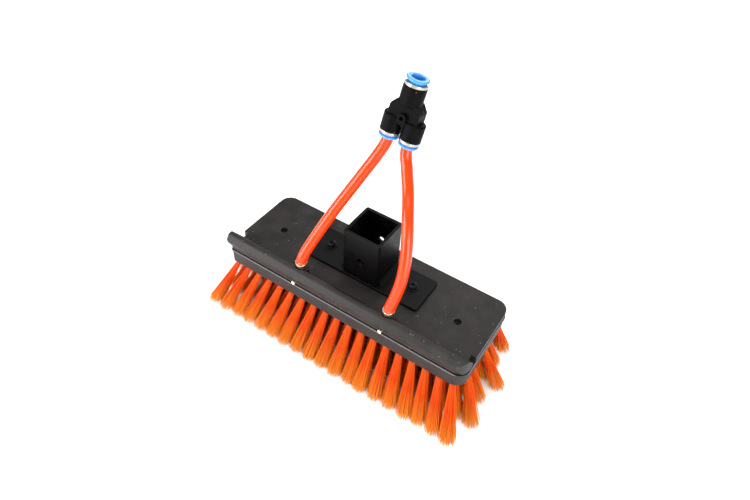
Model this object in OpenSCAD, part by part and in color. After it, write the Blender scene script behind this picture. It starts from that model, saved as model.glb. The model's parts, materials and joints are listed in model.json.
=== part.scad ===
// Water-fed wash brush head: a black block on flared filament tufts, a square
// pole socket, and two hoses joined by a push-fit Y union.
// Millimetres. The brush stands on its tuft ends at z = 0, +X runs along the
// block, +Y points to the back, away from the spray jets, and +Z is up.

/* [Block] */
// Length of the block
block_l = 255; // [210:1:320]
// Width of the block, front wall to back wall
block_w = 88; // [80:1:110]
// Thickness of the upper moulding
cover_t = 6.4; // [5.4:0.1:10]
// Thickness of the lower moulding that carries the tufts
base_t = 15.4; // [14:0.1:22]
// Thickness of the gasket between the two mouldings
gasket_t = 2.2; // [1.4:0.1:2.8]
// Width of the gasket
gasket_w = 5; // [3:0.5:6]
// Depth of the groove that shows in front of the gasket
groove_d = 2; // [1:0.5:3]
// Plan radius of the back corners
back_corner_r = 11; // [6:1:16]
// Plan radius of the front right corner
front_right_corner_r = 12; // [6:1:16]
// Plan radius of the front left corner, which is nearly square
front_left_corner_r = 2.5; // [1:0.5:6]
// How far the ledge on the lower moulding stands out
ledge_out = 0.8; // [0.4:0.1:1.2]
// Height of that ledge
ledge_h = 1.2; // [0.8:0.1:2]

/* [Front ridge] */
// Height of the ridge above the deck
ridge_h = 12.6; // [10:0.1:16]
// How far the ridge's foot lies behind the front wall
ridge_foot = 13.5; // [12:0.1:18]
// Width of the ridge's flat crest
ridge_crest = 4.2; // [3:0.1:6]
// How far the ridge's chin hangs out over the front wall
ridge_chin = 4.7; // [3:0.1:6]
// Height of the chin above the deck
chin_h = 6.7; // [5:0.1:9]
// How far below the deck the chin runs back into the wall
chin_root = 3; // [2:0.1:3.2]
// Depth of the small notch in each end of the upper moulding
notch_d = 5; // [3:0.5:7]
// Width of that notch
notch_w = 6.5; // [5:0.5:9]

/* [Tufts] */
// Clear length of the tufts below the block
tuft_h = 48; // [40:1:65]
// Diameter of a tuft where it leaves its hole
tuft_d = 4.8; // [4:0.1:5.4]
// Diameter of a flared tuft at its end
tuft_tip_d = 12.4; // [6:0.1:13]
// Depth of a tuft's hole, along the hole
tuft_hole_depth = 12; // [9:0.5:12.5]
// Radial clearance of a tuft in its hole
tuft_clear = 0.1; // [0.05:0.05:0.2]
// Distance between the tufts of a row
tuft_pitch = 13.3; // [12:0.1:16]
// Least distance of a tuft's centre from the ends of the block
tuft_edge = 4.5; // [4:0.1:8]
// Distance between the rows
row_pitch = 15; // [13:0.5:18]
// How far the rows are shifted sideways, by turns to the left and to the right
row_stagger = 3; // [0:0.5:3]
// How many times further out the tuft ends stand than their roots, along the front row
front_end_fan = 1.14; // [1:0.01:1.18]
// The same, along the two middle rows
middle_end_fan = 1.18; // [1:0.01:1.2]
// The same, along the back row
back_end_fan = 1.07; // [1:0.01:1.18]
// The same, across the rows of the front half
front_fan = 1.73; // [1.2:0.01:1.9]
// The same, across the rows of the back half
back_fan = 1.4; // [1:0.01:1.7]

/* [Pole socket] */
// Outer width of the square tube
socket_w = 38; // [34:1:44]
// Wall of the square tube
socket_wall = 3; // [2:0.5:4]
// Height of the tube's top above the deck
socket_h = 53; // [40:1:70]
// How far the socket sits behind the block's centre line
socket_y = 8.5; // [6:0.5:12]
// Diameter of the cross-bolt hole
bolt_hole_d = 6.5; // [5:0.1:9]
// Height of the cross-bolt hole above the deck
bolt_hole_h = 24; // [18:1:32]
// Length of the plate
plate_l = 124; // [116:1:150]
// How far the plate stands out in front of the tube
plate_edge = 2.5; // [1.5:0.5:8]
// Thickness of the plate
plate_t = 3; // [2:0.5:4]
// Distance between the two plate screws
plate_screw_pitch = 91; // [84:1:108]
// Leg of the weld on each side of the tube
weld_leg = 4; // [3:0.5:5]

/* [Screws] */
// Diameter of a plate screw's head
plate_head_d = 8.4; // [7.5:0.1:9]
// Diameter of a plate screw's shank
plate_shank_d = 4.8; // [4:0.1:5]
// Diameter of the threaded insert under the plate
insert_d = 7; // [6.5:0.1:8]
// Distance between the two deep-set cover screws
cover_screw_pitch = 194; // [160:1:200]
// Diameter of a cover screw's head
cover_head_d = 6.4; // [5:0.1:7]
// Diameter of a cover screw's shank
cover_shank_d = 3; // [2.5:0.1:3.4]

/* [Water feed] */
// Distance between the two hose tails
barb_pitch = 94; // [80:1:100]
// How far the hose tails stand behind the front wall
barb_back = 8.5; // [8:0.5:9.5]
// Height of a hose tail's seat above the deck
barb_seat_h = 9; // [7:0.5:11]
// How far a hose tail's collar stands out past its hose
collar_edge = 0.5; // [0.3:0.1:0.8]
// Diameter of a hose tail's threaded stud
barb_stud_d = 9.6; // [8:0.1:9.6]
// Diameter of a spray jet
jet_d = 3.8; // [3:0.1:4]
// Height of the jets below the deck
jet_drop = 0.4; // [0.2:0.1:1]
// How far a spray jet stands out from the front wall
jet_out = 4.9; // [2:0.1:6]
// Outer diameter of the hoses
hose_d = 10; // [9:0.1:10]

/* [Y union] */
// Length of the union, collet face to collet face
union_l = 54; // [52:0.5:64]
// Gap between the metal rings of the two outlets
port_gap = 0.7; // [0.3:0.1:2]
// Width of a port's metal ring, in and out
port_ring_w = 1.65; // [1.4:0.05:2]
// How much wider the inlet's ring and flange are than an outlet's, on the radius
inlet_extra = 0.8; // [0:0.1:1]
// How far a collet's flange stays inside its ring's edge
flange_edge = 0.45; // [0.2:0.05:1]
// Wall of a collet
collet_wall = 1.65; // [1.2:0.05:1.8]
// Clearance around a hose in its collet
collet_clear = 0.3; // [0.3:0.05:0.5]
// Clearance around a hose's end in its seat
seat_clear = 0.15; // [0.1:0.05:0.3]
// How far a collet presses in
collet_travel = 1.2; // [0.8:0.1:1.2]
// How far the union leans back, in degrees
union_lean_back = 12.5; // [0:0.5:20]
// How far the union leans to the right, in degrees
union_lean_side = 6.5; // [0:0.5:10]

/* [Hidden] */
$fn = 64;

// The block's own frame has its origin on the deck, over the block's centre.
front_y = -block_w / 2;
cover_bottom = -cover_t;
base_top = cover_bottom - gasket_t;
block_bottom = base_top - base_t;
deck_z = tuft_h - block_bottom;
tufts_per_row = 2 * floor((block_l / 2 - tuft_edge - row_stagger) / tuft_pitch) + 1;
row_count = 6;
row_half = (row_count - 1) / 2 * row_pitch;
// The tufts reach further to the front than to the back, so the block sits
// behind the middle of the area that the brush stands on.
block_shift = row_half * (front_fan - back_fan) / 2;

// Small working clearances, and the length by which a cut runs past a face
land_gap = 0.3;
slip = 0.05;
eps = 0.01;
past = 1;

// Staples
anchor_size = [4.2, 0.6, 3];
anchor_rest = 0.5;

// Plate, welds and their screws
plate_w = socket_w + plate_edge;
plate_y = socket_y - plate_edge / 2;
plate_corner_r = 3;
tube_corner_r = 2;
weld_hollow_r = weld_leg * 1.4;
weld_end = 3;
washer_t = 1;
washer_edge = 1.2;
plate_head_h = 3;
plate_head_side = 1.8;
plate_head_top_d = plate_head_d * 0.66;
plate_hole_d = plate_shank_d + 0.6;
insert_floor = 1.2;
insert_l = cover_t + gasket_t - insert_floor;
screw_end_gap = 0.8;

// Cover screws
cover_head_h = 2.4;
cover_head_top = -3;
cover_head_seat = cover_head_top - cover_head_h;
cover_head_room = 0.6;
cover_shank_room = 0.4;
cover_screw_l = 12;
thread_relief = 0.5;
slot_share = 0.55;

// Hose tails and jets
stud_l = 5;
recess_gap = 1;
boss_wall = 0.5;
boss_d = hose_d + 2 * (collar_edge + recess_gap + boss_wall);
barb_washer_t = 1;
barb_collar_d = hose_d + 2 * collar_edge;
barb_collar_h = 6.5;
barb_tail_l = 5;
barb_tail_d = 6.4;
barb_root_d = 5.6;
barb_rib_l = 3;
barb_rib_pitch = 4;
barb_ribs = floor((barb_tail_l - 1) / barb_rib_pitch);
barb_bore_d = 4;
jet_hole_d = 1.2;
jet_mouth_d = 2.6;
jet_mouth_l = 1;
jet_end_gap = 0.5;

// Inside a port, from the hose outwards
collet_bore_d = hose_d + 2 * collet_clear;
seat_bore_d = hose_d + 2 * seat_clear;
neck_r = collet_bore_d / 2 + collet_wall;
chamber_r = neck_r + 0.35;
port_d = 2 * (chamber_r + port_ring_w);
collet_flange_d = port_d - 2 * flange_edge;
outlet_pitch = port_d + port_gap;

// Along a port, measured inwards from the outer face of its metal ring
ring_t = 2.4;
chamber_end = 12;
seat_end = 15.5;
tube_stop = 15;
flange_t = 2;
grab_at = 7.3;
grab_t = 0.7;
collet_out = collet_travel + 0.4;
neck_end = grab_at - collet_travel - land_gap;
seal_at = 10.4;
seal_r = 1;
port_face = collet_out + flange_t;
seat_z = port_face + seat_end;

// Between the ports
port_wall_r = port_d / 2 - 0.15;
neck_r_out = port_wall_r + inlet_extra;
lobe_rim = 1.2;
lobe_end = seat_z + 0.5;
neck_start = union_l - seat_z - 1.8;
web_w = outlet_pitch + 8;
web_t = 13;
web_top_w = 2 * port_wall_r - 0.7;
web_shoulder_z = lobe_end + 9.5;
web_shoulder_r = 5;
web_neck_r = 3;
waterway_r = 3.2;
waterway_turn = atan2(outlet_pitch / 2, union_l - 2 * seat_z);
eye_z = 22.2;
eye_x = 0.4;
eye_d = 7.6;
eye_hole_d = 3.4;
eye_l = 19;

// Middle of the union's two outlet collets, in the block's frame
union_at = [5, 30, 134.3];

// Routes of the hoses from collar to union, in the block's frame
left_route = [[-47, -35.5, 16.5], [-46.3, -33.5, 21.8], [-44.7, -29.4, 28.8], [-40, -20.5, 43], [-34, -12, 59],
    [-28, -3, 74], [-21.5, 6, 89], [-15, 14.5, 104], [-9, 22.5, 118]];
right_route = [[47, -35.5, 16.5], [47.9, -34, 22], [49.3, -31.3, 30], [50.5, -25.5, 46], [48.5, -18.5, 63],
    [43.5, -10, 79], [37, -1, 93], [29.5, 9.5, 106], [21, 20.5, 119]];

function unit(v) = v / norm(v);

// A corner of an outline replaced by an arc of radius r.
function corner_arc(before, at, after, r, steps = 8) =
    let (
        u = unit(before - at),
        v = unit(after - at),
        half = acos(u * v) / 2,
        p = at + u * r / tan(half),
        q = at + v * r / tan(half),
        centre = at + unit(u + v) * r / sin(half),
        from = atan2(p.y - centre.y, p.x - centre.x),
        to = atan2(q.y - centre.y, q.x - centre.x),
        sweep = (to - from + 540) % 360 - 180
    )
    [for (i = [0:steps]) centre + r * [cos(from + sweep * i / steps), sin(from + sweep * i / steps)]];

// An outline given as [x, y, corner radius].
function filleted(corners) =
    let (n = len(corners))
    [for (i = [0:n - 1])
        let (
            before = corners[(i + n - 1) % n],
            at = corners[i],
            after = corners[(i + 1) % n],
            flat = [for (c = [before, at, after]) [c.x, c.y]]
        )
        each at.z > 0 ? corner_arc(flat[0], flat[1], flat[2], at.z) : [flat[1]]];

function mirrored(corners) =
    let (n = len(corners))
    [for (i = [n - 1:-1:0]) [-corners[i].x, corners[i].y, corners[i].z]];

// Union's own frame: origin midway between the outlet collets' faces, +Z towards the inlet.
function lean(p) =
    let (
        a = -union_lean_back,
        b = union_lean_side,
        q = [p.x, p.y * cos(a) - p.z * sin(a), p.y * sin(a) + p.z * cos(a)]
    )
    [q.x * cos(b) + q.z * sin(b), q.y, -q.x * sin(b) + q.z * cos(b)];

function on_union(p) = union_at + lean(p);

module in_block_frame() translate([0, block_shift, deck_z]) children();

module in_union_frame() in_block_frame() translate(union_at)
    rotate([-union_lean_back, union_lean_side, 0]) children();

// Puts a port's parts on one of the three ports; the port's own +Z runs inwards.
module at_outlet(side) in_union_frame() translate([side * outlet_pitch / 2, 0, port_face]) children();
module at_inlet() in_union_frame() translate([0, 0, union_l - port_face]) rotate([180, 0, 0]) children();
module at_each_port() {
    at_outlet(-1) children();
    at_outlet(1) children();
    at_inlet() children();
}

module block_outline(inset = 0) {
    x = block_l / 2 - inset;
    y = block_w / 2 - inset;
    polygon(filleted([[x, -y, front_right_corner_r - inset], [x, y, back_corner_r - inset],
        [-x, y, back_corner_r - inset], [-x, -y, front_left_corner_r - inset]]));
}

module slab(bottom, top) translate([0, 0, bottom]) linear_extrude(top - bottom) children();

module ring(r_out, r_in, from, to) translate([0, 0, from]) difference() {
    cylinder(r = r_out, h = to - from);
    translate([0, 0, -eps]) cylinder(r = r_in, h = to - from + 2 * eps);
}

module at_barb(side) in_block_frame()
    translate([side * barb_pitch / 2, front_y + barb_back, barb_seat_h]) children();
module at_jet(side) in_block_frame()
    translate([side * barb_pitch / 2, front_y, -jet_drop]) rotate([-90, 0, 0]) children();
module at_plate_screw(side) in_block_frame()
    translate([side * plate_screw_pitch / 2, socket_y, 0]) children();
module at_cover_screw(side) in_block_frame() translate([side * cover_screw_pitch / 2, 0, 0]) children();

// ---- Upper moulding ----

module ridge() {
    y = front_y;
    profile = filleted([[y + ridge_foot, 0, 0], [y + ridge_foot, -chin_root, 0], [y, -chin_root, 0],
        [y - ridge_chin, chin_h, 2.5], [y, ridge_h, 3], [y + ridge_crest, ridge_h, 3]]);
    x = block_l / 2;
    plan = [[x, y - ridge_chin, front_right_corner_r], [x, y + ridge_foot, 0],
        [-x, y + ridge_foot, 0], [-x, y - ridge_chin, front_left_corner_r]];
    intersection() {
        rotate([90, 0, 90]) translate([0, 0, -block_l / 2]) linear_extrude(block_l) polygon(profile);
        slab(-chin_root - 1, ridge_h + 1) polygon(filleted(plan));
    }
}

module end_notch(side)
    translate([side * block_l / 2, front_y + ridge_foot + notch_w / 2, cover_bottom / 2])
        cube([2 * notch_d, notch_w, cover_t + 1], center = true);

module top_cover() color("#2f2e2e") {
    difference() {
        union() {
            in_block_frame() difference() {
                union() {
                    slab(cover_bottom, 0) block_outline();
                    slab(base_top, cover_bottom + past) block_outline(groove_d + gasket_w + land_gap);
                    ridge();
                }
                end_notch(-1);
                end_notch(1);
            }
            for (side = [-1, 1]) at_barb(side) translate([0, 0, -barb_seat_h])
                cylinder(d = boss_d, h = barb_seat_h);
        }
        for (side = [-1, 1]) {
            at_barb(side) {
                cylinder(d = barb_collar_d + 2 * recess_gap, h = ridge_h);
                translate([0, 0, -stud_l - thread_relief])
                    cylinder(d = barb_stud_d + 2 * slip, h = stud_l + past);
                translate([0, 0, -barb_seat_h - jet_drop - jet_d / 2])
                    cylinder(d = barb_bore_d, h = barb_seat_h);
            }
            at_jet(side) translate([0, 0, -jet_out - past])
                cylinder(d = jet_d + 2 * slip, h = jet_out + past + barb_back);
            at_plate_screw(side) translate([0, 0, -insert_l])
                cylinder(d = insert_d + 2 * slip, h = insert_l + past);
            at_cover_screw(side) {
                translate([0, 0, cover_head_seat])
                    cylinder(d = cover_head_d + cover_head_room, h = past - cover_head_seat);
                translate([0, 0, base_top - past])
                    cylinder(d = cover_shank_d + cover_shank_room, h = past - base_top);
            }
        }
    }
}

// ---- Lower moulding ----

module tuft_directions(row) {
    place = row - (row_count + 1) / 2;
    y = place * row_pitch;
    fan = y < 0 ? front_fan : back_fan;
    outerness = (abs(place) - 0.5) / (row_count / 2 - 1);
    outer_end_fan = y < 0 ? front_end_fan : back_end_fan;
    end_fan = middle_end_fan + (outer_end_fan - middle_end_fan) * outerness;
    for (i = [0:tufts_per_row - 1]) {
        x = (i - (tufts_per_row - 1) / 2) * tuft_pitch + row_stagger * (row % 2 == 0 ? 1 : -1);
        run = [x * (end_fan - 1), y * (fan - 1), -tuft_h];
        in_block_frame() translate([x, y, block_bottom])
            rotate([0, acos(run.z / norm(run)), atan2(run.y, run.x)]) {
                $tuft_run = norm(run);
                children();
            }
    }
}

module brush_base() color("#333232") difference() {
    in_block_frame() {
        slab(block_bottom, base_top) block_outline();
        slab(base_top - ledge_h, base_top) block_outline(-ledge_out);
    }
    for (row = [1:row_count]) tuft_directions(row) translate([0, 0, -tuft_hole_depth])
        cylinder(d = tuft_d + 2 * tuft_clear, h = tuft_hole_depth + tuft_d);
    for (side = [-1, 1]) at_cover_screw(side)
        translate([0, 0, cover_head_seat - cover_screw_l - thread_relief])
            cylinder(d = cover_shank_d + 2 * slip, h = cover_screw_l);
}

module cover_gasket() color("#151515") in_block_frame() difference() {
    slab(base_top, cover_bottom) block_outline(groove_d);
    slab(base_top - past, cover_bottom + past) block_outline(groove_d + gasket_w);
}

module cover_screws() color("#1a1a1a") for (side = [-1, 1]) at_cover_screw(side)
    translate([0, 0, cover_head_seat]) difference() {
        union() {
            cylinder(d = cover_head_d, h = cover_head_h);
            translate([0, 0, -cover_screw_l]) cylinder(d = cover_shank_d, h = cover_screw_l + eps);
        }
        translate([0, 0, cover_head_h]) cross_slot(cover_head_d * slot_share, 0.9, 1.4);
    }

// A cross cut down from z = 0: its length, width and depth.
module cross_slot(l, w, depth) for (turn = [0, 90])
    rotate(turn) translate([-l / 2, -w / 2, -depth]) cube([l, w, depth + past]);

// ---- Tufts ----

module anchor_box(grow)
    translate([-anchor_size.x / 2 - grow, -anchor_size.y / 2 - grow, -tuft_hole_depth + anchor_rest - grow])
        cube([anchor_size.x + 2 * grow, anchor_size.y + 2 * grow, anchor_size.z + 2 * grow]);

module tuft_row(row) color("#ff6a13") intersection() {
    tuft_directions(row) difference() {
        union() {
            straight = 1.5;
            fold_at = -tuft_hole_depth + 2 * anchor_rest;
            translate([0, 0, fold_at]) cylinder(d = tuft_d, h = straight - fold_at);
            translate([0, 0, straight - eps])
                cylinder(d1 = tuft_d, d2 = tuft_tip_d, h = $tuft_run - straight + tuft_tip_d / 2);
        }
        anchor_box(slip);
    }
    translate([-block_l, -block_l, 0]) cube([2 * block_l, 2 * block_l, deck_z]);
}

module tuft_row_1() tuft_row(1);
module tuft_row_2() tuft_row(2);
module tuft_row_3() tuft_row(3);
module tuft_row_4() tuft_row(4);
module tuft_row_5() tuft_row(5);
module tuft_row_6() tuft_row(6);

module tuft_anchors() color("silver") for (row = [1:row_count]) tuft_directions(row) anchor_box(0);

// ---- Pole socket ----

module rounded_square(w, r) for (turn = [0:90:270]) rotate(turn) {
    translate([-w / 2 + r, -w / 2]) square([w - 2 * r, w / 2]);
    translate([w / 2 - r, w / 2 - r]) circle(r);
}

module socket_tube() color("#161616") difference() {
    in_block_frame() translate([0, socket_y, 0]) {
        slab(plate_t, socket_h) difference() {
            rounded_square(socket_w, tube_corner_r);
            square(socket_w - 2 * socket_wall, center = true);
        }
    }
    in_block_frame() translate([0, socket_y, bolt_hole_h]) rotate([90, 0, 0])
        cylinder(d = bolt_hole_d, h = 2 * socket_w, center = true);
}

module socket_plate() color("#1b1b1b") difference() {
    x = plate_l / 2;
    side = [[x, plate_y - plate_w / 2, plate_corner_r], [x, plate_y + plate_w / 2, plate_corner_r]];
    in_block_frame() slab(0, plate_t) polygon(filleted(concat(side, mirrored(side))));
    for (side = [-1, 1]) at_plate_screw(side) translate([0, 0, -past])
        cylinder(d = plate_hole_d, h = plate_t + 2 * past);
}

module weld_beads() color("#121212") in_block_frame() for (side = [0, 1]) mirror([side, 0, 0])
    translate([socket_w / 2, socket_y + socket_w / 2 - weld_end, plate_t]) rotate([90, 0, 0])
        linear_extrude(socket_w - 2 * weld_end) difference() {
            square(weld_leg);
            translate([weld_hollow_r, weld_hollow_r]) circle(weld_hollow_r - slip);
        }

module plate_screws() color("#262626") for (side = [-1, 1]) at_plate_screw(side)
    translate([0, 0, plate_t + washer_t]) difference() {
        union() {
            cylinder(d = plate_head_d, h = plate_head_side);
            translate([0, 0, plate_head_side - eps])
                cylinder(d1 = plate_head_d, d2 = plate_head_top_d, h = plate_head_h - plate_head_side);
            translate([0, 0, -plate_t - washer_t - insert_l + screw_end_gap])
                cylinder(d = plate_shank_d, h = plate_t + washer_t + insert_l);
        }
        translate([0, 0, plate_head_h]) cross_slot(plate_head_d * slot_share, 1.2, 1.6);
    }

module plate_washers() color("#303030") for (side = [-1, 1]) at_plate_screw(side)
    ring(plate_head_d / 2 + washer_edge, plate_hole_d / 2, plate_t, plate_t + washer_t);

module plate_inserts() color("#b08d57") for (side = [-1, 1]) at_plate_screw(side)
    ring(insert_d / 2, plate_shank_d / 2 + slip, -insert_l, 0);

// ---- Hose tails and jets ----

module hose_barb(side) color("#c9a45c") at_barb(side) difference() {
    union() {
        translate([0, 0, -stud_l]) cylinder(d = barb_stud_d, h = stud_l + barb_washer_t);
        translate([0, 0, barb_washer_t]) cylinder(d = barb_collar_d, h = barb_collar_h);
        translate([0, 0, barb_washer_t + barb_collar_h - eps]) cylinder(d = barb_root_d, h = barb_tail_l);
        for (i = [0:barb_ribs - 1]) translate([0, 0, barb_washer_t + barb_collar_h + 1 + barb_rib_pitch * i])
            cylinder(d1 = barb_tail_d, d2 = barb_root_d, h = barb_rib_l);
    }
    translate([0, 0, -stud_l - past])
        cylinder(d = barb_bore_d, h = stud_l + barb_washer_t + barb_collar_h + barb_tail_l + 2 * past);
}

module hose_barb_left() hose_barb(-1);
module hose_barb_right() hose_barb(1);

module barb_washers() color("#8a3b2a") for (side = [-1, 1]) at_barb(side)
    ring(barb_collar_d / 2, barb_stud_d / 2 + slip, 0, barb_washer_t);

module spray_jet(side) color("#d8c48a") at_jet(side) difference() {
    translate([0, 0, -jet_out]) cylinder(d = jet_d, h = jet_out + barb_back - barb_bore_d / 2 - jet_end_gap);
    translate([0, 0, -jet_out - past]) cylinder(d = jet_hole_d, h = jet_out + barb_back);
    translate([0, 0, -jet_out - eps]) cylinder(d1 = jet_mouth_d, d2 = jet_hole_d, h = jet_mouth_l);
}

module spray_jet_left() spray_jet(-1);
module spray_jet_right() spray_jet(1);

// ---- Hoses ----

// One tube of n sides whose rings stand on the points of a route that climbs.
module swept_tube(route, d, n = 12) {
    last = len(route) - 1;
    rings = [for (i = [0:last])
        let (
            t = unit(route[min(i + 1, last)] - route[max(i - 1, 0)]),
            u = unit([1, 0, 0] - t.x * t),
            v = cross(t, u)
        )
        each [for (k = [0:n - 1]) route[i] + d / 2 * (u * cos(360 * k / n) + v * sin(360 * k / n))]];
    sides = [for (i = [0:last - 1], k = [0:n - 1])
        let (m = (k + 1) % n)
        each [[i * n + k, i * n + n + k, i * n + m], [i * n + m, i * n + n + k, i * n + n + m]]];
    caps = [[for (k = [0:n - 1]) k], [for (k = [n - 1:-1:0]) last * n + k]];
    polyhedron(rings, concat(caps, sides));
}

module hose(route, side) color("#ff4a1c") in_block_frame() {
    x = side * outlet_pitch / 2;
    swept_tube(concat(route, [on_union([x, 0, -4]), on_union([x, 0, port_face + tube_stop])]), hose_d);
}

module hose_left() hose(left_route, -1);
module hose_right() hose(right_route, 1);

// ---- Y union ----

module y_body() color("#1c1c1c") difference() {
    bottom = port_face + ring_t;
    web = [[web_w / 2, port_face + chamber_end, 0], [web_w / 2, web_shoulder_z, web_shoulder_r],
        [web_top_w / 2, neck_start + 2, web_neck_r]];
    in_union_frame() {
        for (side = [-1, 1]) translate([side * outlet_pitch / 2, 0, 0]) {
            translate([0, 0, bottom]) cylinder(r = port_wall_r, h = lobe_end - bottom);
            translate([0, 0, lobe_end - eps])
                cylinder(r1 = port_wall_r, r2 = port_wall_r - lobe_rim, h = lobe_rim);
        }
        translate([0, 0, neck_start]) cylinder(r = neck_r_out, h = union_l - bottom - neck_start);
        translate([0, 0, neck_start - lobe_rim + eps])
            cylinder(r1 = neck_r_out - lobe_rim, r2 = neck_r_out, h = lobe_rim);
        rotate([90, 0, 0]) linear_extrude(web_t, center = true) polygon(filleted(concat(web, mirrored(web))));
        translate([eye_x, eye_l / 2, eye_z]) rotate([90, 0, 0]) cylinder(d = eye_d, h = eye_l);
    }
    at_each_port() {
        translate([0, 0, ring_t - past]) cylinder(r = chamber_r, h = chamber_end - ring_t + past);
        translate([0, 0, chamber_end - past]) cylinder(d = seat_bore_d, h = seat_end - chamber_end + past);
    }
    in_union_frame() {
        for (side = [-1, 1]) translate([side * outlet_pitch / 2, 0, seat_z])
            rotate([0, -side * waterway_turn, 0]) translate([0, 0, -past])
                cylinder(r = waterway_r, h = norm([outlet_pitch / 2, union_l - 2 * seat_z]) + 2 * past);
        translate([eye_x, eye_l, eye_z]) rotate([90, 0, 0]) cylinder(d = eye_hole_d, h = 2 * eye_l);
    }
}

module port_ring(extra = 0) color("#d9dce0") ring(port_d / 2 + extra, chamber_r, 0, ring_t);
module inlet_ring() at_inlet() port_ring(inlet_extra);
module outlet_ring_left() at_outlet(-1) port_ring();
module outlet_ring_right() at_outlet(1) port_ring();

module collet(extra = 0) color("#2f8fe6") difference() {
    union() {
        translate([0, 0, -port_face]) cylinder(d = collet_flange_d + 2 * extra, h = flange_t);
        translate([0, 0, -collet_out - eps]) cylinder(r = neck_r, h = neck_end + collet_out);
    }
    translate([0, 0, -port_face - past]) cylinder(d = collet_bore_d, h = port_face + neck_end + 2 * past);
}
module inlet_collet() at_inlet() collet(inlet_extra);
module outlet_collet_left() at_outlet(-1) collet();
module outlet_collet_right() at_outlet(1) collet();

module grab_rings() color("#b9bcc0") at_each_port() 
    ring(chamber_r - slip, seat_bore_d / 2 + slip, grab_at, grab_at + grab_t);

module port_seals() color("#101010") at_each_port() translate([0, 0, seal_at])
    rotate_extrude() translate([chamber_r - slip - seal_r, 0]) circle(seal_r, $fn = 32);

top_cover();
brush_base();
cover_gasket();
cover_screws();
tuft_row_1();
tuft_row_2();
tuft_row_3();
tuft_row_4();
tuft_row_5();
tuft_row_6();
tuft_anchors();
socket_tube();
socket_plate();
weld_beads();
plate_screws();
plate_washers();
plate_inserts();
hose_barb_left();
hose_barb_right();
barb_washers();
spray_jet_left();
spray_jet_right();
hose_left();
hose_right();
y_body();
inlet_ring();
outlet_ring_left();
outlet_ring_right();
inlet_collet();
outlet_collet_left();
outlet_collet_right();
grab_rings();
port_seals();
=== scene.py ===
import json
import math

import bmesh
import bpy
import numpy as np
from mathutils import Matrix, Vector

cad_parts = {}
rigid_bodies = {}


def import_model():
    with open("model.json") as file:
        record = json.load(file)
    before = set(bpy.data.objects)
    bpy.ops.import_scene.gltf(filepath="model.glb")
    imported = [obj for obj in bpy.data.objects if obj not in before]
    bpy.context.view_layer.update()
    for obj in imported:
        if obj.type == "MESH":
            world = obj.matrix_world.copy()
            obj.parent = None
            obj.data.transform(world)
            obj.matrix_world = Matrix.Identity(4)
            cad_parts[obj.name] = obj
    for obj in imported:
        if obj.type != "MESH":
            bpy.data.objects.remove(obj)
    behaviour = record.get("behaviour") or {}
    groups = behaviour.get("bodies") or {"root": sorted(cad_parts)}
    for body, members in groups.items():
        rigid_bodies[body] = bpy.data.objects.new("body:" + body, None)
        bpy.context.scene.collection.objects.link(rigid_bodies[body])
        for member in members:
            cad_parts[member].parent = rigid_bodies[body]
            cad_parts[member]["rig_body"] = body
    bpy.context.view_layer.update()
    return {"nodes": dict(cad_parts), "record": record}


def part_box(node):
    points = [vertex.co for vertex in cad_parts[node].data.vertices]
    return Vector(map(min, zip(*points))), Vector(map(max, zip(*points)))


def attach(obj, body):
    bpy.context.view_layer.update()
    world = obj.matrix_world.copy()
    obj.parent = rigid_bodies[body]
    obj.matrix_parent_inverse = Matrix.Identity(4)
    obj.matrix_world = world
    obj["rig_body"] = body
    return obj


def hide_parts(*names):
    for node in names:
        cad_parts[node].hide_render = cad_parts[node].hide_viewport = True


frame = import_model()
bpy.context.scene.view_settings.view_transform = "Standard"

# ---- Camera ----
# A still camera held above the front right of the brush, about 0.6 m away.
# It looks down at 46 degrees and is rolled by 4 degrees.

camera_at = Vector((0.1935, -0.3065, 0.4822))
camera_azimuth = math.radians(30.63)
camera_elevation = math.radians(45.85)
camera_roll = math.radians(3.96)
camera = bpy.data.objects.new("camera", bpy.data.cameras.new("camera"))
camera.data.lens = 28.4
camera.data.sensor_width = 36
camera.data.clip_start = 0.01
turn = Matrix.Rotation(camera_azimuth, 4, "Z") @ Matrix.Rotation(math.pi / 2 - camera_elevation, 4, "X")
camera.matrix_world = Matrix.Translation(camera_at) @ turn @ Matrix.Rotation(camera_roll, 4, "Z")
bpy.context.scene.collection.objects.link(camera)
bpy.context.scene.camera = camera

# ---- Lower moulding ----
# A long block of satin black polypropylene, injection moulded, then drilled for the tufts.
# Its ledge is painted pale near its top, a painted highlight that shows as a thin bright line under the
# joint.

base_low, base_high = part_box("brush_base")
ledge_out = 0.0008
painted_highlight_fades_at = 0.0007
painted_highlight_full_at = 0.0003
deck_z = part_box("socket_plate")[0].z
block_y = (base_low.y + base_high.y) / 2


def block_point(x, y, z):
    """A point given in millimetres from the deck's middle, in the row frame in metres."""
    return Vector((x / 1000, block_y + y / 1000, deck_z + z / 1000))


def linear(hex_colour):
    """An sRGB hex colour as the linear RGBA that a shader socket takes."""
    c = np.array([int(hex_colour[i : i + 2], 16) for i in (1, 3, 5)]) / 255
    c = np.where(c <= 0.04045, c / 12.92, ((c + 0.055) / 1.055) ** 2.4)
    return (*c.tolist(), 1.0)


def add(material, kind, links=None, **settings):
    """Adds one node. settings are its own properties or its inputs' values, links its inputs' sources."""
    made = material.node_tree.nodes.new(kind)
    for name, value in settings.items():
        if hasattr(made, name):
            setattr(made, name, value)
        else:
            made.inputs[name.replace("_", " ")].default_value = value
    for name, source in (links or {}).items():
        material.node_tree.links.new(source, made.inputs[name])
    return made


def finish(name, colour, roughness, metallic=0.0, ior=1.5, **more):
    """A material with its Principled shader's own values set, and its colour on the socket."""
    material = bpy.data.materials.new(name)
    material.use_nodes = True
    shader = material.node_tree.nodes["Principled BSDF"]
    values = {"Base Color": linear(colour), "Roughness": roughness, "Metallic": metallic, "IOR": ior, **more}
    for socket, value in values.items():
        shader.inputs[socket].default_value = value
    return material, shader


def join(material, source, socket):
    """Links one node's output to another node's input."""
    material.node_tree.links.new(source, socket)


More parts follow.
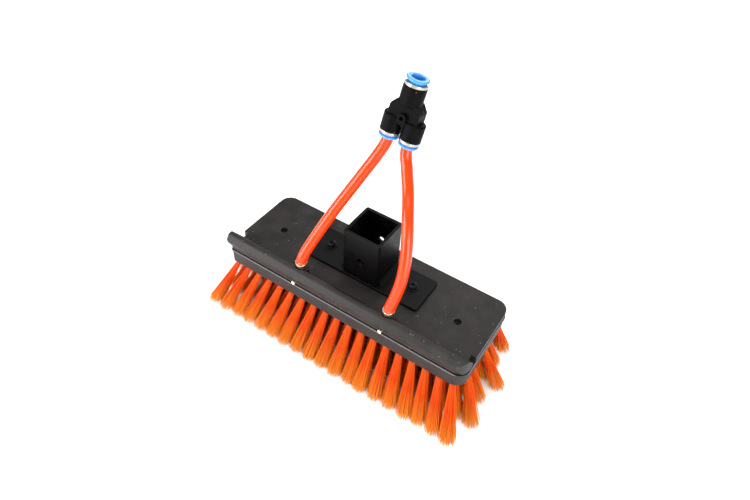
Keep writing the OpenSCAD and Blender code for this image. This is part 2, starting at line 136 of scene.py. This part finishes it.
def per_metre(size):
    """The scale at which a pattern repeats every size millimetres: a thousand divided by the size."""
    return 1000 / size


def edged(node, name, width, angle=30, segments=3):
    """A merged copy of a CAD node whose edges sharper than angle are rounded by width."""
    piece = bpy.data.objects.new(name, frame["nodes"][node].data.copy())
    bpy.context.scene.collection.objects.link(piece)
    shape = bmesh.new()
    shape.from_mesh(piece.data)
    bmesh.ops.remove_doubles(shape, verts=shape.verts, dist=2e-6)
    bmesh.ops.dissolve_limit(shape, angle_limit=math.radians(0.3), verts=shape.verts, edges=shape.edges)
    shape.to_mesh(piece.data)
    shape.free()
    piece.data.shade_smooth()
    piece.data.set_sharp_from_angle(angle=math.radians(angle))
    if width:
        bevel = piece.modifiers.new("rounded edges", "BEVEL")
        bevel.width = width
        bevel.segments = segments
        bevel.limit_method = "ANGLE"
        bevel.angle_limit = math.radians(angle)
    even = piece.modifiers.new("even shading", "WEIGHTED_NORMAL")
    even.keep_sharp = True
    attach(piece, frame["nodes"][node]["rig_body"])
    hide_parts(node)
    return piece


def dress(piece, material):
    """Gives the piece this material alone."""
    piece.data.materials.clear()
    piece.data.materials.append(material)


def moulded_polypropylene(name, colour, mottle, shine):
    """Satin black, with the mould's fine grain, a cloudy film from handling in patches of about
    17 mm, and specks of dust 6 mm apart. The grain is drawn at 0.7 mm, coarser than real, to show."""
    material, shader = finish(name, colour, 0.5)
    shader.inputs["Specular IOR Level"].default_value = shine
    place = add(material, "ShaderNodeTexCoord").outputs["Object"]
    film = add(
        material, "ShaderNodeTexNoise", {"Vector": place}, Scale=per_metre(16.7), Detail=5.0, Roughness=0.6
    )
    grain = add(material, "ShaderNodeTexNoise", {"Vector": place}, Scale=per_metre(0.714), Detail=2.0)
    tone = add(
        material, "ShaderNodeMapRange", {"Value": film.outputs["Fac"]}, From_Min=0.35, From_Max=0.7
    )
    colour_mix = add(material, "ShaderNodeMix", {"Factor": tone.outputs["Result"]}, data_type="RGBA")
    colour_mix.inputs["A"].default_value = linear(colour)
    colour_mix.inputs["B"].default_value = linear(mottle)
    specks = add(material, "ShaderNodeTexVoronoi", {"Vector": place}, Scale=per_metre(6.25))
    dust = add(
        material, "ShaderNodeMapRange", {"Value": specks.outputs["Distance"]},
        From_Min=0.05, From_Max=0.1, To_Min=0.6, To_Max=0.0,
    )
    dusty = add(
        material, "ShaderNodeMix", {"Factor": dust.outputs["Result"], "A": colour_mix.outputs["Result"]},
        data_type="RGBA",
    )
    dusty.inputs["B"].default_value = linear("#8d8780")
    join(material, dusty.outputs["Result"], shader.inputs["Base Color"])
    gloss = add(
        material, "ShaderNodeMapRange", {"Value": film.outputs["Fac"]},
        From_Min=0.3, From_Max=0.7, To_Min=0.42, To_Max=0.6,
    )
    join(material, gloss.outputs["Result"], shader.inputs["Roughness"])
    bump = add(material, "ShaderNodeBump", {"Height": grain.outputs["Fac"]}, Strength=0.25, Distance=0.0001)
    join(material, bump.outputs["Normal"], shader.inputs["Normal"])
    return material


black_moulding = moulded_polypropylene("moulded polypropylene", "#1c1a19", "#2e2a28", 0.28)
lower_moulding = edged("brush_base", "lower_moulding", 0.0004)


def painted_highlight_ledge():
    """The moulding, painted pale as a highlight where the distance outside the block's wall is above zero,
    near its top.
    """
    material = moulded_polypropylene("rubbed polypropylene", "#1c1a19", "#2e2a28", 0.28)
    shader = material.node_tree.nodes["Principled BSDF"]
    plain = shader.inputs["Base Color"].links[0].from_socket
    place = add(material, "ShaderNodeTexCoord").outputs["Object"]
    middle = Vector((0, block_y, base_high.z))
    centred = add(material, "ShaderNodeMapping", {"Vector": place}, Location=-middle)
    split = add(material, "ShaderNodeSeparateXYZ", {"Vector": centred.outputs["Vector"]})
    outside = []
    for axis, wall in (("X", base_high.x - ledge_out), ("Y", base_high.y - block_y - ledge_out)):
        size = add(material, "ShaderNodeMath", operation="ABSOLUTE")
        join(material, split.outputs[axis], size.inputs[0])
        beyond = add(material, "ShaderNodeMath", operation="GREATER_THAN")
        join(material, size.outputs["Value"], beyond.inputs[0])
        beyond.inputs[1].default_value = wall
        outside.append(beyond.outputs["Value"])
    either = add(material, "ShaderNodeMath", operation="MAXIMUM")
    join(material, outside[0], either.inputs[0])
    join(material, outside[1], either.inputs[1])
    near_top = add(
        material, "ShaderNodeMapRange", {"Value": split.outputs["Z"]},
        From_Min=-painted_highlight_fades_at, From_Max=-painted_highlight_full_at,
    )
    painted_highlight = add(material, "ShaderNodeMath", operation="MULTIPLY")
    join(material, either.outputs["Value"], painted_highlight.inputs[0])
    join(material, near_top.outputs["Result"], painted_highlight.inputs[1])
    # painted highlight: the ledge's top edge is painted pale grey
    tone = add(material, "ShaderNodeMix", {"Factor": painted_highlight.outputs["Value"], "A": plain}, data_type="RGBA")
    tone.inputs["B"].default_value = linear("#8b8a8d")
    join(material, tone.outputs["Result"], shader.inputs["Base Color"])
    return material


dress(lower_moulding, painted_highlight_ledge())

# ---- Tufts ----
# Each tuft is a bundle of bright orange polypropylene filaments, folded in half and
# stapled into its hole. The bundle flares, and its ends are trimmed level.

tufts_per_row = 19
rows = 6
tuft_pitch = 0.0133
row_pitch = 0.015
row_stagger = 0.003
front_end_fan = 1.14
middle_end_fan = 1.18
back_end_fan = 1.07
front_fan = 1.73
back_fan = 1.4
strands = 220
strand_radius = 0.00027
root_radius = 0.0023
tip_radius = 0.0082
spread_power = 1.2
strand_thinning = 0.3
tuft_stray = 0.0006
strand_stray = 0.0006
shortest_trim = 0.0001
longest_trim = 0.0016
golden_angle = math.pi * (3 - math.sqrt(5))


def sheet_mesh(name, points, faces, uv):
    """A mesh object from arrays of points, of faces with four corners, and of a UV for each point."""
    mesh = bpy.data.meshes.new(name)
    mesh.vertices.add(len(points))
    mesh.vertices.foreach_set("co", points.astype(np.float32).ravel())
    mesh.loops.add(faces.size)
    mesh.loops.foreach_set("vertex_index", faces.astype(np.int32).ravel())
    mesh.polygons.add(len(faces))
    mesh.polygons.foreach_set("loop_start", np.arange(0, faces.size, faces.shape[1], dtype=np.int32))
    mesh.update(calc_edges=True)
    layer = mesh.uv_layers.new(name="along")
    layer.data.foreach_set("uv", uv[faces.ravel()].astype(np.float32).ravel())
    mesh.shade_smooth()
    mesh.validate()
    piece = bpy.data.objects.new(name, mesh)
    bpy.context.scene.collection.objects.link(piece)
    return piece


def grid_faces(count, rings, sides):
    """The four-cornered faces of count closed tubes, each of rings circles of sides points."""
    tube, ring, side = np.meshgrid(np.arange(count), np.arange(rings - 1), np.arange(sides), indexing="ij")
    a = (tube * rings + ring) * sides + side
    b = (tube * rings + ring) * sides + (side + 1) % sides
    return np.stack([a, b, b + sides, a + sides], axis=-1).reshape(-1, 4)


def tuft_row(row, sides=3):
    """A strand runs from root to tip while its place in the bundle spreads as a power of t, the share of
    its length.
    A bundle's strands fill a disc like the seeds of a sunflower, and each strand ends in a point."""
    r = np.random.default_rng(row)
    t = np.array([-0.05, 0.15, 0.35, 0.55, 0.75, 0.97, 1])[None, None, :, None]
    spread = np.clip(t, 0, 1) ** spread_power
    place = row - (rows + 1) / 2
    outer_end_fan, across_fan = (front_end_fan, front_fan) if place < 0 else (back_end_fan, back_fan)
    end_fan = middle_end_fan + (outer_end_fan - middle_end_fan) * (abs(place) - 0.5) / (rows / 2 - 1)
    x = (np.arange(tufts_per_row) - (tufts_per_row - 1) / 2) * tuft_pitch + row_stagger * (1 - row % 2 * 2)
    y = place * row_pitch
    root = np.stack([x, np.full_like(x, block_y + y), np.full_like(x, base_low.z)], axis=-1)
    tip = np.stack([x * end_fan, np.full_like(x, block_y + y * across_fan), np.zeros_like(x)], axis=-1)
    tip[:, :2] += r.normal(0, tuft_stray, (tufts_per_row, 2))
    k = np.arange(strands)
    reach = np.sqrt((k + 0.5) / strands)
    angle = k * golden_angle + r.uniform(0, 6.28, (tufts_per_row, 1))
    disc = np.stack([reach * np.cos(angle), reach * np.sin(angle), 0 * angle], axis=-1)[:, :, None]
    loose = disc * tip_radius + r.normal(0, strand_stray, disc.shape) * [1, 1, 0]
    line = root[:, None, None] + (tip - root)[:, None, None] * t
    line = line + disc * root_radius * (1 - spread) + loose * spread
    trim = r.uniform(shortest_trim, longest_trim, (tufts_per_row, strands, 1))
    line[..., 2] = line[..., 2] * (1 - trim / base_low.z) + trim
    corner = np.arange(sides) * 2 * math.pi / sides
    around = np.stack([np.cos(corner), np.sin(corner), 0 * corner], axis=-1)
    thick = strand_radius * np.where(t > 0.98, 0.02, 1 - strand_thinning * np.clip(t, 0, 1) ** 4)
    points = line[:, :, :, None] + around * thick[..., None]
    tint = np.broadcast_to(r.uniform(0, 1, (tufts_per_row, strands, 1, 1)), points.shape[:-1])
    along = np.broadcast_to(t[..., None, 0], points.shape[:-1])
    faces = grid_faces(tufts_per_row * strands, t.size, sides)
    uv = np.stack([tint, along], axis=-1).reshape(-1, 2)
    return sheet_mesh(f"tuft_strands_{row}", points.reshape(-1, 3), faces, uv)


def dyed_filament():
    """Extruded filament: light shines through, so it glows orange. Its colour is deep at the root and
    painted pale towards the tip, a painted highlight where light falls on the ends.
    """
    material, shader = finish("extruded polypropylene filament", "#ff5a0a", 0.45, ior=1.49)
    shader.inputs["Specular IOR Level"].default_value = 0.25
    shader.inputs["Subsurface Weight"].default_value = 0.2
    shader.inputs["Subsurface Radius"].default_value = (1.0, 0.3, 0.05)
    shader.inputs["Subsurface Scale"].default_value = 0.001
    uv = add(material, "ShaderNodeUVMap", uv_map="along")
    split = add(material, "ShaderNodeSeparateXYZ", {"Vector": uv.outputs["UV"]})
    # painted highlight: the colour pales from halfway along to the tip
    tip_highlight_share = add(material, "ShaderNodeMapRange", {"Value": split.outputs["Y"]}, From_Min=0.5, From_Max=1.0)
    strand = add(material, "ShaderNodeMix", {"Factor": split.outputs["X"]}, data_type="RGBA")
    strand.inputs["A"].default_value = linear("#ff4c00")
    strand.inputs["B"].default_value = linear("#ff7402")
    pale = add(
        material, "ShaderNodeMix", {"Factor": tip_highlight_share.outputs["Result"], "A": strand.outputs["Result"]},
        data_type="RGBA",
    )
    pale.inputs["B"].default_value = linear("#ffaa30")
    join(material, pale.outputs["Result"], shader.inputs["Base Color"])
    through = add(material, "ShaderNodeBsdfTranslucent", {"Color": pale.outputs["Result"]})
    both = add(material, "ShaderNodeMixShader", Fac=0.4)
    join(material, shader.outputs["BSDF"], both.inputs[1])
    join(material, through.outputs["BSDF"], both.inputs[2])
    join(material, both.outputs["Shader"], material.node_tree.nodes["Material Output"].inputs["Surface"])
    return material


orange_filament = dyed_filament()
for row in range(1, rows + 1):
    tufts = tuft_row(row)
    dress(tufts, orange_filament)
    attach(tufts, "brush")
    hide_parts(f"tuft_row_{row}")

# ---- Staples and gasket ----
# A staple of flat steel wire holds the fold of each tuft at the bottom of its hole.
# A black rubber gasket closes the joint between the two mouldings.


def drawn_metal(name, colour, roughness):
    """Bright metal whose gloss runs in the fine lines that drawing, rolling or turning leaves.
    Real lines are finer still: these are a sixth of a millimetre apart, so that they show."""
    material, shader = finish(name, colour, roughness, metallic=1.0)
    place = add(material, "ShaderNodeTexCoord").outputs["Object"]
    level, upright = per_metre(10 / 3), per_metre(1 / 6)
    stretch = add(material, "ShaderNodeMapping", {"Vector": place}, Scale=(level, level, upright))
    lines = add(material, "ShaderNodeTexNoise", {"Vector": stretch.outputs["Vector"]}, Scale=1.0, Detail=3.0)
    gloss = add(
        material, "ShaderNodeMapRange", {"Value": lines.outputs["Fac"]},
        To_Min=roughness - 0.1, To_Max=roughness + 0.12,
    )
    join(material, gloss.outputs["Result"], shader.inputs["Roughness"])
    bump = add(material, "ShaderNodeBump", {"Height": lines.outputs["Fac"]}, Strength=0.15, Distance=0.00005)
    join(material, bump.outputs["Normal"], shader.inputs["Normal"])
    return material


dress(frame["nodes"]["tuft_anchors"], drawn_metal("flat steel wire", "#b9b9b6", 0.35))


def pressed_rubber(name, colour):
    """Matte black rubber with the soft bloom that comes to its surface."""
    material, shader = finish(name, colour, 0.8)
    place = add(material, "ShaderNodeTexCoord").outputs["Object"]
    bloom = add(material, "ShaderNodeTexNoise", {"Vector": place}, Scale=per_metre(2.5), Detail=4.0)
    gloss = add(
        material, "ShaderNodeMapRange", {"Value": bloom.outputs["Fac"]}, To_Min=0.65, To_Max=0.9
    )
    join(material, gloss.outputs["Result"], shader.inputs["Roughness"])
    bump = add(material, "ShaderNodeBump", {"Height": bloom.outputs["Fac"]}, Strength=0.2, Distance=0.0001)
    join(material, bump.outputs["Normal"], shader.inputs["Normal"])
    return material


black_rubber = pressed_rubber("nitrile rubber", "#0d0d0d")
dress(frame["nodes"]["cover_gasket"], black_rubber)

# ---- Upper moulding ----
# The same polypropylene. A flat deck carries the socket plate, and the ridge along its
# front edge carries the water from the hose tails to the jets.

upper_moulding = edged("top_cover", "upper_moulding", 0.0008, segments=4)
dress(upper_moulding, black_moulding)

# ---- Pole socket ----
# A short length of square steel tube, cut square and drilled for a cross bolt.
# It is welded to a flat plate along two sides, and both are painted black.


def black_paint(name, colour, roughness):
    """Semi-gloss black paint over steel, with a slight orange peel and dull scuffs."""
    material, shader = finish(name, colour, roughness)
    shader.inputs["Specular IOR Level"].default_value = 0.15
    shader.inputs["Coat Weight"].default_value = 0.05
    shader.inputs["Coat Roughness"].default_value = 0.25
    place = add(material, "ShaderNodeTexCoord").outputs["Object"]
    peel = add(material, "ShaderNodeTexNoise", {"Vector": place}, Scale=per_metre(1.43), Detail=1.0)
    scuff = add(
        material, "ShaderNodeTexNoise", {"Vector": place}, Scale=per_metre(7.14), Detail=6.0, Roughness=0.7
    )
    gloss = add(
        material, "ShaderNodeMapRange", {"Value": scuff.outputs["Fac"]},
        From_Min=0.35, From_Max=0.75, To_Min=roughness - 0.08, To_Max=roughness + 0.2,
    )
    join(material, gloss.outputs["Result"], shader.inputs["Roughness"])
    bump = add(material, "ShaderNodeBump", {"Height": peel.outputs["Fac"]}, Strength=0.12, Distance=0.0002)
    join(material, bump.outputs["Normal"], shader.inputs["Normal"])
    return material


painted_steel = black_paint("painted steel", "#040303", 0.42)
for node, name, width in (
    ("socket_plate", "painted_plate_shell", 0.0004),
    ("socket_tube", "painted_tube_shell", 0.0005),
    ("weld_beads", "painted_welds", 0.0002),
):
    piece = edged(node, name, width)
    dress(piece, painted_steel)

# ---- Screws ----
# Pan-head screws of blackened steel hold the plate down on washers, and bite in knurled
# brass inserts. Two more sit deep in the deck and hold the two mouldings together.

blackened_steel = drawn_metal("blackened steel", "#2b2b2c", 0.38)
for node, name, width in (
    ("plate_washers", "plate_washer_pair", 0.0002),
    ("plate_screws", "plate_screw_pair", 0.0003),
    ("cover_screws", "cover_screw_pair", 0.0002),
):
    piece = edged(node, name, width)
    dress(piece, blackened_steel)
dress(frame["nodes"]["plate_inserts"], drawn_metal("knurled brass", "#c8a15a", 0.4))

# ---- Hose tails and jets ----
# Turned brass tails screw into the ridge, each on a fibre washer, and the hoses are pushed
# over their barbs. Small brass jets are pressed into the ridge and face forwards.

turned_brass = drawn_metal("turned brass", "#f7ecd0", 0.25)
for node, name, width in (
    ("hose_barb_left", "brass_tail_left", 0.0003),
    ("hose_barb_right", "brass_tail_right", 0.0003),
    ("spray_jet_left", "brass_jet_left", 0.0002),
    ("spray_jet_right", "brass_jet_right", 0.0002),
):
    piece = edged(node, name, width)
    dress(piece, turned_brass)
dress(frame["nodes"]["barb_washers"], pressed_rubber("vulcanised fibre", "#5a2016"))

# ---- Y union ----
# A push-fit union of black glass-filled polymer: nickel-plated rings close its three ports,
# and inside each port a toothed steel ring and an O-ring hold and seal the tube.

union_polymer = moulded_polypropylene("glass-filled polymer", "#040303", "#090708", 0.06)
dress(edged("y_body", "union_body", 0.0005, angle=35), union_polymer)
nickel = drawn_metal("nickel plate", "#b3aca2", 0.16)
for node in ("inlet_ring", "outlet_ring_left", "outlet_ring_right"):
    dress(edged(node, f"{node}_shell", 0.0003), nickel)
dress(frame["nodes"]["grab_rings"], drawn_metal("stainless spring steel", "#c0c0bd", 0.25))
dress(frame["nodes"]["port_seals"], black_rubber)


def moulded_acetal():
    """Sky blue acetal: smooth, a little waxy, with a soft gloss."""
    material, shader = finish("moulded acetal", "#3f96e8", 0.3, ior=1.48)
    shader.inputs["Subsurface Weight"].default_value = 0.15
    shader.inputs["Subsurface Radius"].default_value = (0.3, 0.6, 1.0)
    shader.inputs["Subsurface Scale"].default_value = 0.001
    place = add(material, "ShaderNodeTexCoord").outputs["Object"]
    wax = add(material, "ShaderNodeTexNoise", {"Vector": place}, Scale=per_metre(2), Detail=3.0)
    gloss = add(
        material, "ShaderNodeMapRange", {"Value": wax.outputs["Fac"]}, To_Min=0.22, To_Max=0.4
    )
    join(material, gloss.outputs["Result"], shader.inputs["Roughness"])
    return material


blue_acetal = moulded_acetal()
for node in ("inlet_collet", "outlet_collet_left", "outlet_collet_right"):
    dress(edged(node, f"{node}_shell", 0.0008, segments=4), blue_acetal)

# ---- Hoses ----
# Two lengths of 10 mm polyurethane tube, glossy orange, pushed over the hose tails below
# and into the union's collets above. They are stiff enough to hold the union up.

hose_radius = 0.005
union_axis = Vector(next(m["axis"] for m in frame["record"]["mounts"] if m["name"] == "supply_port"))
union_across = Vector((1, 0, -union_axis.x / union_axis.z)).normalized()
union_at = block_point(5, 30, 134.3)
outlet_pitch = 0.0186
tube_stop = 0.0186
straight_entry = 0.004
left_route = [(-47, -35.5, 16.5), (-46.3, -33.5, 21.8), (-44.7, -29.4, 28.8), (-40, -20.5, 43)]
left_route += [(-34, -12, 59), (-28, -3, 74), (-21.5, 6, 89), (-15, 14.5, 104), (-9, 22.5, 118)]
right_route = [(47, -35.5, 16.5), (47.9, -34, 22), (49.3, -31.3, 30), (50.5, -25.5, 46)]
right_route += [(48.5, -18.5, 63), (43.7, -10.4, 79.4), (36.8, -0.6, 92.6), (28.1, 12.4, 103.3),
    (19.3, 22.8, 116.2)]


def smooth_line(points, steps):
    """A curve through the points: between two of them it is the cubic whose end slopes run
    from the point before to the point after, spaced evenly along its length."""
    p = np.array(points)
    p = np.vstack([2 * p[0] - p[1], p, 2 * p[-1] - p[-2]])
    u = np.linspace(0, 1, 24, endpoint=False)[None, :, None]
    a, b, c, d = (p[i : len(p) - 3 + i, None] for i in range(4))
    curve = 0.5 * (2 * b + (c - a) * u + (2 * a - 5 * b + 4 * c - d) * u**2 + (3 * b - a - 3 * c + d) * u**3)
    curve = np.vstack([curve.reshape(-1, 3), p[-2]])
    along = np.concatenate([[0], np.cumsum(np.linalg.norm(np.diff(curve, axis=0), axis=1))])
    even = np.linspace(0, along[-1], steps)
    return np.stack([np.interp(even, along, curve[:, k]) for k in range(3)], axis=1), along[-1]


def hose(name, route, side, rings=160, sides=32):
    """Circles of the hose's radius stand square to the smooth line, and close to a point at both ends."""
    port = union_at + union_across * side * outlet_pitch / 2
    points = [tuple(block_point(*p)) for p in route]
    points += [tuple(port - union_axis * straight_entry), tuple(port + union_axis * tube_stop)]
    line, length = smooth_line(points, rings)
    ahead = np.gradient(line, axis=0)
    ahead /= np.linalg.norm(ahead, axis=1, keepdims=True)
    right = np.array([1.0, 0, 0]) - ahead[:, :1] * ahead
    right /= np.linalg.norm(right, axis=1, keepdims=True)
    up = np.cross(ahead, right)
    turn = np.arange(sides) * 2 * math.pi / sides
    radius = np.full((rings, 1, 1), hose_radius)
    radius[[0, -1]] = 1e-5
    radius[[1, -2]] = hose_radius * 0.94
    line[1] = line[0]
    line[-2] = line[-1]
    body = right[:, None] * np.cos(turn)[None, :, None] + up[:, None] * np.sin(turn)[None, :, None]
    points = line[:, None] + body * radius
    uv = np.stack(np.meshgrid(np.linspace(0, length, rings), turn, indexing="ij"), axis=-1).reshape(-1, 2)
    made = sheet_mesh(name, points.reshape(-1, 3), grid_faces(1, rings, sides), uv)
    return made, line, length


def polyurethane():
    """Extruded polyurethane: clear orange through its wall, wet-looking gloss, a faint cloudy tint and
    ripple.
    """
    material, shader = finish("extruded polyurethane", "#ff3a02", 0.22, ior=1.5)
    shader.inputs["Specular IOR Level"].default_value = 0.3
    shader.inputs["Subsurface Weight"].default_value = 0.15
    shader.inputs["Subsurface Radius"].default_value = (1.0, 0.25, 0.05)
    shader.inputs["Subsurface Scale"].default_value = 0.002
    shader.inputs["Coat Weight"].default_value = 0.2
    shader.inputs["Coat Roughness"].default_value = 0.1
    place = add(material, "ShaderNodeTexCoord").outputs["Object"]
    cloud = add(material, "ShaderNodeTexNoise", {"Vector": place}, Scale=per_metre(11.1), Detail=3.0)
    tint = add(material, "ShaderNodeMix", {"Factor": cloud.outputs["Fac"]}, data_type="RGBA")
    tint.inputs["A"].default_value = linear("#ff3200")
    tint.inputs["B"].default_value = linear("#ff4402")
    join(material, tint.outputs["Result"], shader.inputs["Base Color"])
    bump = add(material, "ShaderNodeBump", {"Height": cloud.outputs["Fac"]}, Strength=0.1, Distance=0.0005)
    join(material, bump.outputs["Normal"], shader.inputs["Normal"])
    return material


orange_polyurethane = polyurethane()
shells = bpy.data.objects
left_pieces = [shells[n] for n in ("union_body", "inlet_ring_shell", "outlet_ring_left_shell",
    "inlet_collet_shell", "outlet_collet_left_shell")]
right_pieces = [shells["outlet_ring_right_shell"], shells["outlet_collet_right_shell"]]
for side, name, route, node, others in (
    (-1, "polyurethane_hose_left", left_route, "hose_left", left_pieces),
    (1, "polyurethane_hose_right", right_route, "hose_right", right_pieces),
):
    tube, line, length = hose(name, route, side)
    dress(tube, orange_polyurethane)
    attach(tube, "brush")
    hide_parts(node)

# ---- Floor and light ----
# A plain white sweep with painted light: it glows a little, washing out its shadows, except under
# the brush, with four large soft lights and a dim white surround.

floor_mesh = bpy.data.meshes.new("floor")
floor_mesh.from_pydata([(-4, -4, 0), (4, -4, 0), (4, 4, 0), (-4, 4, 0)], [], [(0, 1, 2, 3)])
floor = bpy.data.objects.new("floor", floor_mesh)
bpy.context.scene.collection.objects.link(floor)
sweep, sweep_shader = finish("white sweep", "#f2f2f2", 0.7)
sweep_shader.inputs["Emission Color"].default_value = (1, 1, 1, 1)
sweep_place = add(sweep, "ShaderNodeTexCoord").outputs["Object"]
oval = add(sweep, "ShaderNodeMapping", {"Vector": sweep_place}, Scale=(5.5, 11, 1))
nearness = add(sweep, "ShaderNodeTexGradient", {"Vector": oval.outputs["Vector"]}, gradient_type="SPHERICAL")
# painted light: the floor's own glow, fading to nothing under the brush
glow = add(
    sweep, "ShaderNodeMapRange", {"Value": nearness.outputs["Fac"]},
    From_Min=0.05, From_Max=0.35, To_Min=0.45, To_Max=0.0,
)
join(sweep, glow.outputs["Result"], sweep_shader.inputs["Emission Strength"])
dress(floor, sweep)


def soft_light(name, size, power, at, aim):
    """A square lamp of a size in metres and a power in watts, turned so that it faces the aim."""
    lamp = bpy.data.lights.new(name, "AREA")
    lamp.size = size
    lamp.energy = power
    light = bpy.data.objects.new(name, lamp)
    towards = Vector(aim) - Vector(at)
    facing = towards.to_track_quat("-Z", "Y").to_matrix().to_4x4()
    light.matrix_world = Matrix.Translation(Vector(at)) @ facing
    bpy.context.scene.collection.objects.link(light)


soft_light("top light", 1.2, 16, (-0.1, 0.1, 1.6), (0, 0, 0.06))
soft_light("front left light", 1.0, 26, (-0.9, -1.2, 0.5), (0, 0, 0.03))
soft_light("front right light", 0.9, 18, (1.2, -0.7, 0.45), (0, 0, 0.03))
soft_light("back light", 0.6, 5, (-0.3, 1.4, 0.7), (0, 0, 0.06))
world = bpy.data.worlds.new("white surround")
bpy.context.scene.world = world
world.use_nodes = True
world.node_tree.nodes["Background"].inputs["Color"].default_value = (1, 1, 1, 1)
world.node_tree.nodes["Background"].inputs["Strength"].default_value = 0.4
